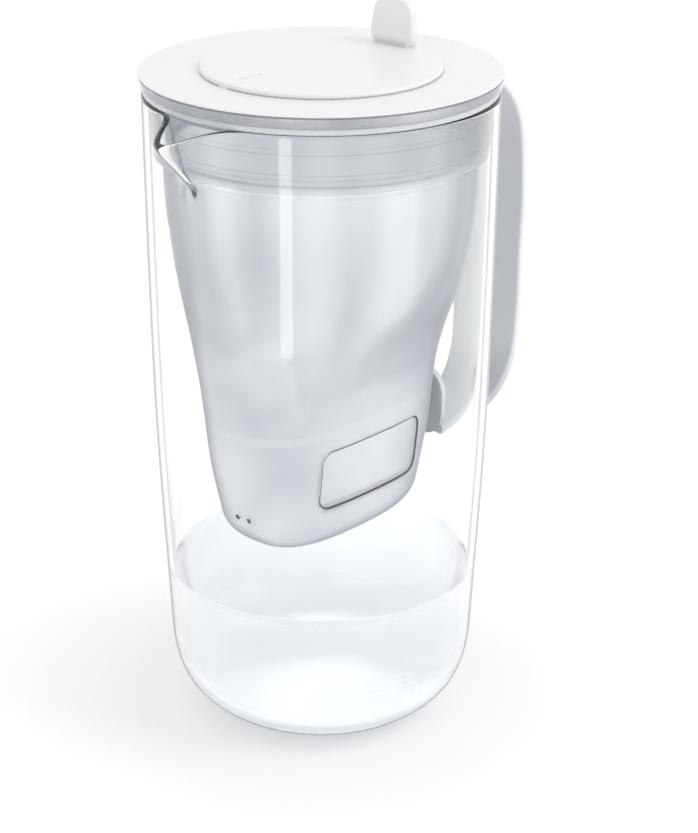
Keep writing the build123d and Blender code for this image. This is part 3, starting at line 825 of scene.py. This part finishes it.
def make_band():
    """A flat section grown along the side view of the strap, its long edges rounded."""
    line = through(STRAP_POINTS, 5)
    start = line[0]
    width = strap_width(start.y)
    heading = 0.0
    nothing()
    bpy.ops.mesh.primitive_plane_add(size=1.0, location=(0, 0, 0))
    bpy.ops.object.mode_set(mode="EDIT")
    bpy.ops.mesh.select_all(action="SELECT")
    size = (STRAP_THICK * MM, width * MM, 1)
    bpy.ops.transform.resize(value=size, center_override=(0, 0, 0))
    bpy.ops.transform.rotate(value=pi / 2, orient_axis="Y", center_override=(0, 0, 0))
    bpy.ops.transform.translate(value=(start.x * MM, 0, start.y * MM))
    for i in range(1, len(line)):
        before, spot = line[i - 1], line[i]
        ahead = line[min(i + 1, len(line) - 1)] - before
        turned = atan2(ahead.y, ahead.x)
        move = ((spot.x - before.x) * MM, 0, (spot.y - before.y) * MM)
        here = (spot.x * MM, 0, spot.y * MM)
        turn = turned - heading
        bpy.ops.mesh.extrude_region_move(TRANSFORM_OT_translate={"value": move})
        bpy.ops.transform.rotate(value=turn, orient_axis="Y", center_override=here)
        new_width = strap_width(spot.y)
        bpy.ops.transform.resize(value=(1, new_width / width, 1), center_override=here)
        heading = turned
        width = new_width
    outward()
    pick_edges(lambda edge: len(edge.link_faces) == 2 and edge.calc_face_angle() > radians(60))
    bpy.ops.mesh.bevel(offset=STRAP_EDGE * MM, segments=4, affect="EDGES")
    return bpy.context.object


def wall_solid(grown):
    """The full round of the jug's outside, grown by a little, as a tool."""
    above = RIM + 4.5
    under = [(radius, -1.0) for radius in FLAT_RINGS]
    top = [(JUG_RADIUS + grown, above), (FLAT_RINGS[1], above)]
    tool = grow(under + wall_line(-grown, -1.0) + top, 128)
    outward()
    return tool


def make_strap():
    """The band with a curved pad at each end, fitted round the wall with room for the adhesive."""
    strap = make_band()
    for low, high, corner in PADS:
        size = (12.0, 2 * PAD_HALF_WIDTH, high - low)
        pad = block(size, (66.0, 0, (low + high) / 2), 0, corner)
        cut(pad, wall_solid(BOND + PAD_THICK), "INTERSECT")
        cut(strap, pad, "UNION")
    cut(strap, wall_solid(BOND))
    complete(strap, "handle_strap_moulded", grey, "jug", ["handle_strap"], 40.0)


make_strap()
make_jug()
make_water()


# Funnel

FUNNEL_WALL = 1.8
CHAMBER_FLOOR = 80.0
CHAMBER_FLOOR_THICK = 2.0
CHAMBER_ROUND = 11.5
PASSAGE = (43.8, 22.8, 3.0)
AT_LEDGE = (51.2, 29.4, 3.05)
BADGE_HALF = 28.7
BADGE_LOW = 99.0
BADGE_HIGH = 124.5
BADGE_CORNER = 5.5
BADGE_MIDDLE = (BADGE_LOW + BADGE_HIGH) / 2
BADGE_DEPTH = 0.5
GROOVE_DEPTH = 1.2
GROOVE_WIDTH = 0.8
VENT_RADIUS = 1.1
VENT_LEVEL = 94.5
VENT_SIDE = 3.0
OUTLET = (34.0, 4.0, 6.0)
OUTLET_STEP = 9.6

# Each oval is (level, half length, half width, squareness)
BOWL = [
    (CHAMBER_FLOOR, 41.8, 24.6, 2.8),
    (97.0, 45.6, 26.2, 3.0),
    (115.0, 49.0, 28.0, 3.1),
    (LEDGE_TOP, *AT_LEDGE),
    (145.0, 52.2, 31.4, 3.0),
    (155.0, 52.4, 35.4, 2.9),
    (165.0, 52.8, 40.6, 2.7),
    (175.0, 53.6, 46.4, 2.5),
    (186.0, 54.9, 52.2, 2.3),
    (200.0, 57.8, 57.6, 2.05),
    (215.0, 59.9, 59.9, 2.0),
    (NECK, 60.8, 60.8, 2.0),
]

# Levels and radii of the collar's steps, the lowest band first, then the flange
COLLAR_OUTSIDE = [
    (NECK, 61.3),
    (235.0, 63.5),
    (235.3, 63.9),
    (239.8, 63.9),
    (240.1, 64.1),
    (240.3, 64.5),
    (249.4, 64.5),
    (249.7, 64.6),
    (249.9, 64.9),
    (259.9, 64.9),
    (FLANGE_FOOT, 65.2),
    (FLANGE_FOOT, 68.1),
    (260.5, 68.45),
    (263.7, 68.9),
    (264.0, 68.6),
]
COLLAR_INSIDE = [
    (264.0, 63.2),
    (263.7, 62.9),
    (251.5, 62.9),
    (251.3, 62.7),
    (251.1, 62.5),
    (241.9, 62.5),
    (241.7, 62.3),
    (241.5, 61.9),
    (237.0, 61.9),
    (236.7, 61.6),
    (236.7, 58.8),
    (236.4, 58.6),
]


def bowl_ovals(inset, floor, floor_round):
    """Ovals of the bowl from the middle of its floor up to the neck, moved inward by inset."""
    line = through(BOWL, 4)

    def size_at(level):
        for low, high in zip(line, line[1:]):
            if level <= high[0]:
                return low.lerp(high, (level - low[0]) / (high[0] - low[0]))
        return line[-1]

    def oval(level, size, inward):
        return (level, size[1] - inward, size[2] - inward, size[3])

    foot = oval(floor, size_at(floor), inset + floor_round)
    ovals = [(floor, foot[1] * part, foot[2] * part, foot[3]) for part in (0.1, 0.4, 0.7)]
    for step in range(9):
        turn = radians(90 * step / 8)
        level = floor + floor_round * (1 - cos(turn))
        ovals.append(oval(level, size_at(level), inset + floor_round * (1 - sin(turn))))
    above_round = floor + floor_round + 1
    return ovals + [oval(size[0], size, inset) for size in line if size[0] > above_round]


def with_ledge(ovals):
    """Adds the ledge for the cartridge to the inner wall, given from the floor up."""
    below = [oval for oval in ovals if oval[0] < LEDGE_LOW]
    above = [oval for oval in ovals if oval[0] > LEDGE_TOP]
    length, width, squareness = AT_LEDGE
    wall = (length - FUNNEL_WALL, width - FUNNEL_WALL, squareness)
    underside = [(LEDGE_LOW, *wall), (LEDGE_LOW, *PASSAGE)]
    return below + underside + [(LEDGE_TOP, *PASSAGE), (LEDGE_TOP, *wall)] + above


def badge_block(margin):
    """Block with the rounded outline of the badge plate, smaller by a margin."""
    size = (2 * (BADGE_HALF - margin), 30.0, BADGE_HIGH - BADGE_LOW - 2 * margin)
    return block(size, (0, -30.0, BADGE_MIDDLE), 1, BADGE_CORNER - margin)


def badge_tool(depth):
    """The badge block down to a depth under the face of the funnel."""
    plate = badge_block(0.0)
    cut(plate, grow_ovals(bowl_ovals(depth, CHAMBER_FLOOR, CHAMBER_ROUND), 256))
    return plate


def in_groove(spot):
    """Tells whether a spot lies in the groove round the badge plate."""
    across = abs(spot.x) - BADGE_HALF + BADGE_CORNER
    up = abs(spot.z - BADGE_MIDDLE) - (BADGE_HIGH - BADGE_LOW) / 2 + BADGE_CORNER
    inward = BADGE_CORNER - hypot(max(across, 0), max(up, 0)) - min(max(across, up), 0)
    return spot.y < -20 and -0.05 < inward < GROOVE_WIDTH + 0.1


def in_shade(spot, normal):
    """Tells whether a face lies in the groove or on the wall of a vent hole."""
    reach = VENT_RADIUS + 0.2
    beside = abs(spot.z - VENT_LEVEL) < reach and abs(abs(spot.y) - VENT_SIDE) < reach
    return in_groove(spot) or (beside and spot.x < -43 and abs(normal.x) < 0.6)


def make_funnel():
    """The shell with its collar and ledge, the badge plate in its groove, vents and outlets."""
    outside = bowl_ovals(0.0, CHAMBER_FLOOR, CHAMBER_ROUND)
    collar = [(level, radius, radius, 2.0) for level, radius in COLLAR_OUTSIDE + COLLAR_INSIDE]
    floor = CHAMBER_FLOOR + CHAMBER_FLOOR_THICK
    inside = with_ledge(bowl_ovals(FUNNEL_WALL, floor, CHAMBER_ROUND - FUNNEL_WALL))
    funnel = grow_ovals(outside + collar + inside[::-1], 256)
    cut(funnel, badge_tool(BADGE_DEPTH))
    groove = badge_tool(GROOVE_DEPTH)
    cut(groove, badge_block(GROOVE_WIDTH))
    cut(funnel, groove)
    for side in (-1, 1):
        cut(funnel, round_bar(VENT_RADIUS, 14.0, (-46.0, VENT_SIDE * side, VENT_LEVEL), 0))
    for row in (-1, 0, 1):
        cut(funnel, block(OUTLET, (0, OUTLET_STEP * row, CHAMBER_FLOOR + 1), 2, 1.95))
    complete(funnel, "funnel_moulded", tinted, "funnel_unit", ["funnel"], 50.0)
    even(funnel)
    second_finish(funnel, groove_shade, in_shade)


GASKET_SECTION = [
    (65.1, 257.55),
    (67.2, 257.55),
    (67.55, 257.8),
    (67.7, 258.3),
    (67.7, 259.4),
    (67.55, 259.9),
    (67.2, 260.15),
    (65.1, 260.15),
]


def make_gasket():
    gasket = grow_ring(GASKET_SECTION, 192)
    names = ["rim_gasket"]
    complete(gasket, "rim_gasket_moulded", rubber, "funnel_unit", names, 50.0)
    even(gasket)


# Lid

HINGE_LEVEL = 263.0
LID_SECTION = [
    (39.0, 265.0),
    (68.5, 265.0),
    (68.85, 264.9),
    (69.0, 264.6),
    (69.0, 264.3),
    (68.8, 264.02),
    (62.0, 264.02),
    (62.0, 254.8),
    (61.7, 254.5),
    (60.5, 254.5),
    (60.2, 254.8),
    (60.2, 262.6),
    (40.2, 262.6),
    (40.2, 259.3),
    (39.9, 259.0),
    (38.9, 259.0),
    (38.6, 259.3),
    (38.6, 264.6),
]


# Faces of the lid's edge, which get the painted shade line
def on_lid_edge(spot, normal):
    return hypot(spot.x, spot.y) > 68.7 and spot.z < 264.5


def make_lid():
    """Plate with its skirt and chute, the hinge boss below and the slot for the knuckle."""
    lid = grow_ring(LID_SECTION, 192)
    boss = block((9.4, 27.2, 2.4), (45.7, 0, HINGE_LEVEL - 1.3), 2, 1.0)
    cut(lid, boss, "UNION")
    knuckle_slot = block((7.0, 16.8, 12.0), (45.5, 0, HINGE_LEVEL), 2, 0.6)
    cut(lid, knuckle_slot)
    pin_hole = round_bar(0.93, 26.4, (46.3, 0, HINGE_LEVEL), 1)
    cut(lid, pin_hole)
    complete(lid, "lid_plate_moulded", white, "lid", ["lid_plate"], 60.0)
    even(lid)
    second_finish(lid, painted_lid_edge_shade, on_lid_edge)


make_gasket()
make_funnel()
make_lid()


# Welded copies of the other moulded parts, and finishes for the CAD nodes that stay

smooth_copy("cartridge_cup", satin_white, "cartridge", bevel=0.25)
smooth_copy("cartridge_cap", satin_white, "cartridge", bevel=0.35)
for node in ("flap_cover", "flap_base", "cell_door"):
    smooth_copy(node, white, "flap")
smooth_copy("light_guide", window, "flap")

for node, material in {
    "inlet_screen": screen,
    "outlet_screen": screen,
    "filter_media": granules,
    "hinge_pin": steel,
    "indicator_board": board,
    "indicator_led": window,
    "coin_cell": steel,
    "cell_clip": steel,
    "base_screws": steel,
    "handle_bond_upper": bond_grey,
    "handle_bond_lower": bond_grey,
}.items():
    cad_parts[node].data.materials.clear()
    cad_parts[node].data.materials.append(material)


# Studio, in metres


def softbox(name, place, aim, width, height, power):
    """A panel of soft light that the camera doesn't see."""
    lamp = bpy.data.lights.new(name, "AREA")
    lamp.shape = "RECTANGLE"
    lamp.size = width
    lamp.size_y = height
    lamp.energy = power
    light = bpy.data.objects.new(name, lamp)
    light.location = place
    light.rotation_euler = (Vector(aim) - light.location).to_track_quat("-Z", "Y").to_euler()
    light.visible_camera = False
    bpy.context.scene.collection.objects.link(light)


def floor_finish():
    """Pale floor that shines up through the foot of the glass, as a lit table does."""
    f = Finish("studio_floor", roughness=0.6, emission_strength=1.0)
    f.feed("Base Color", f.blend(f.noise(1.5), (0.86, 0.86, 0.86), (0.85, 0.85, 0.85)))
    values = {0: f.place}
    from_middle = f.node("ShaderNodeVectorMath", {"operation": "LENGTH"}, values, output="Value")
    # The glow is fainter in a ring round the foot than farther off: painted shade round the foot
    under_glass, shade_at_foot, far_off = (0.80, 0.80, 0.80), (0.10, 0.10, 0.10), (0.20, 0.20, 0.20)
    glow = f.blend(f.spread(from_middle, 0.024, 0.038), under_glass, shade_at_foot)
    f.feed("Emission Color", f.blend(f.spread(from_middle, 0.07, 0.15), glow, far_off))
    return f.material


def make_studio():
    """Pale floor, white surroundings, a large soft light in front and a faint strip at the left."""
    nothing()
    bpy.ops.mesh.primitive_plane_add(size=8.0, location=(0, 0, -0.3 * MM))
    floor = bpy.context.object
    floor.name = "studio_floor"
    floor.data.materials.append(floor_finish())
    world = bpy.data.worlds.new("studio")
    bpy.context.scene.world = world
    world.use_nodes = True
    back = world.node_tree.nodes["Background"]
    back.inputs["Color"].default_value = (1, 1, 1, 1)
    back.inputs["Strength"].default_value = 1.0
    softbox("soft_key", (0.45, -1.0, 0.95), (0, 0, 0.12), 0.7, 0.9, 4.0)
    softbox("left_strip", (-0.42, -0.16, 0.13), (0, 0, 0.13), 0.06, 0.24, 0.10)


CAMERA_AWAY = 0.89118
CAMERA_HEIGHT = 0.48938
CAMERA_DOWN = 22.3208
CAMERA_AZIMUTH = radians(48.0)
FILM_HEIGHT = 36.0
FOCAL_LENGTH = 104.57
SHIFT = 0.0333


def make_camera():
    """Long lens that looks down on the pitcher from above the spout's side."""
    data = bpy.data.cameras.new("camera")
    data.sensor_fit = "VERTICAL"
    data.sensor_height = FILM_HEIGHT
    data.lens = FOCAL_LENGTH
    data.shift_x = SHIFT
    data.clip_end = 20.0
    camera = bpy.data.objects.new("camera", data)
    bpy.context.scene.collection.objects.link(camera)
    across = -CAMERA_AWAY * sin(CAMERA_AZIMUTH)
    back = -CAMERA_AWAY * cos(CAMERA_AZIMUTH)
    camera.location = (across, back, CAMERA_HEIGHT)
    camera.rotation_euler = (radians(90 - CAMERA_DOWN), 0, -CAMERA_AZIMUTH)
    bpy.context.scene.camera = camera


make_studio()
make_camera()
bpy.context.scene.view_settings.view_transform = "Standard"
